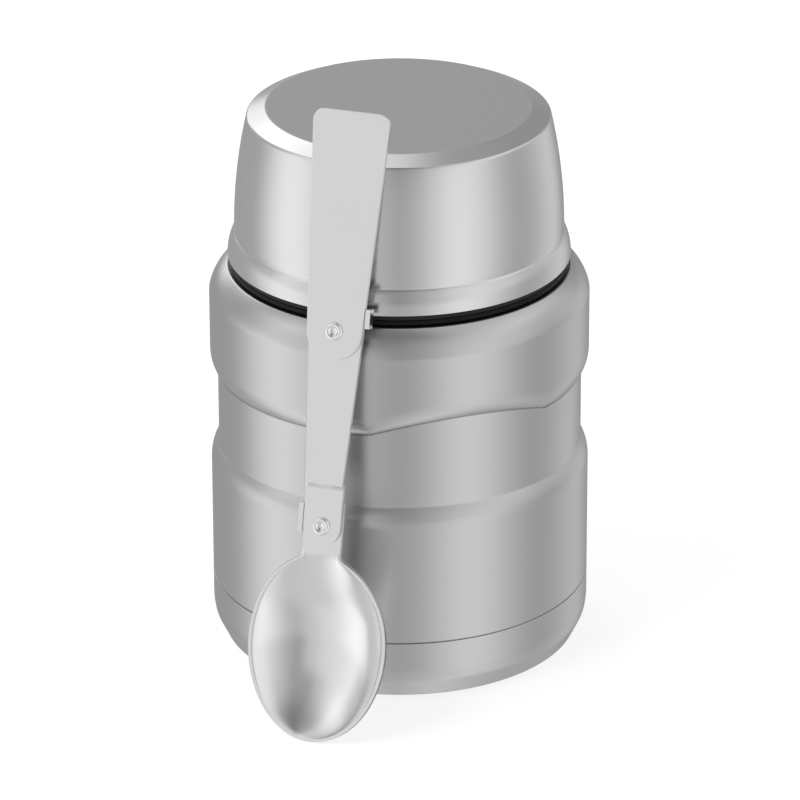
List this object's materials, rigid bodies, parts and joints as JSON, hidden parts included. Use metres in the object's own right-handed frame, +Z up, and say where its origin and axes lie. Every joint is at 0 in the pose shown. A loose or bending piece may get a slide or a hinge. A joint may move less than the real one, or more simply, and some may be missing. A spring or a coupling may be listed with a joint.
{
  "type": "insulated food jar",
  "caption": "Wide-mouth vacuum food jar of satin steel with a waist, a threaded stopper, a screw-on bowl lid, and a folding spoon that leans on it.",
  "frame": {"origin": "centre of the foot ring that the jar stands on", "axes": "+Z up along the jar's axis, -Y towards the viewer of the picture, +X to the viewer's right"},
  "size_m": [0.095, 0.1201, 0.1515],
  "materials": {
    "body_steel": "satin, brushed round the jar",
    "lid_steel": "satin, brushed round the lid",
    "inner_steel": "bright satin",
    "spoon_steel": "polished with fine marks",
    "rivet_steel": "bright",
    "black_plastic": "satin black",
    "dark_rubber": "matte dark grey",
    "silicone": "matte light grey",
    "white_foam": "matte",
    "copper_foil": "bright",
    "seal_glass": "dark glaze"
  },
  "bodies": {
    "body": {"outer_shell": "body_steel", "base_cup": "body_steel", "base_cover": "body_steel", "vacuum_seal": "seal_glass", "inner_vessel": "inner_steel", "reflecting_foil": "copper_foil", "getter_clip": "inner_steel", "getter_pill": "seal_glass"},
    "stopper_carrier": {"stopper_gasket": "silicone"},
    "stopper": {"stopper_cap": "black_plastic", "stopper_plug": "black_plastic", "stopper_foam": "white_foam"},
    "lid_carrier": {"lid_seal": "dark_rubber"},
    "lid": {"lid_shell": "lid_steel", "lid_bowl": "inner_steel", "lid_ring": "black_plastic"},
    "spoon": {"spoon_bowl": "spoon_steel", "lower_rivet": "rivet_steel"},
    "spoon_link": {"spoon_link": "spoon_steel", "upper_rivet": "rivet_steel"},
    "spoon_handle": {"spoon_handle": "spoon_steel"}
  },
  "joints": [
    {"name": "stopper_lift", "type": "slide", "parent": "body", "child": "stopper_carrier", "axis": [0, 0, 1], "range_m": [0, 0.09]},
    {"name": "stopper_turn", "type": "hinge", "parent": "stopper_carrier", "child": "stopper", "pos_m": [0, 0, 0.1055], "axis": [0, 0, 1], "range_deg": [0, 270]},
    {"name": "lid_lift", "type": "slide", "parent": "stopper_carrier", "child": "lid_carrier", "axis": [0, 0, 1], "range_m": [0, 0.09]},
    {"name": "lid_turn", "type": "hinge", "parent": "lid_carrier", "child": "lid", "pos_m": [0, 0, 0.105], "axis": [0, 0, 1], "range_deg": [0, 270]},
    {"name": "spoon_take_away", "type": "slide", "parent": "lid_carrier", "child": "spoon", "axis": [-0.3279, -0.901, 0.284], "range_m": [0, 0.1]},
    {"name": "link_fold", "type": "hinge", "parent": "spoon", "child": "spoon_link", "pos_m": [-0.01955, -0.05989, 0.05357], "axis": [0.3279, 0.901, -0.284], "range_deg": [0, 180]},
    {"name": "handle_fold", "type": "hinge", "parent": "spoon_link", "child": "spoon_handle", "pos_m": [-0.01539, -0.04684, 0.09978], "axis": [-0.3279, -0.901, 0.284], "range_deg": [0, 180]}
  ]
}
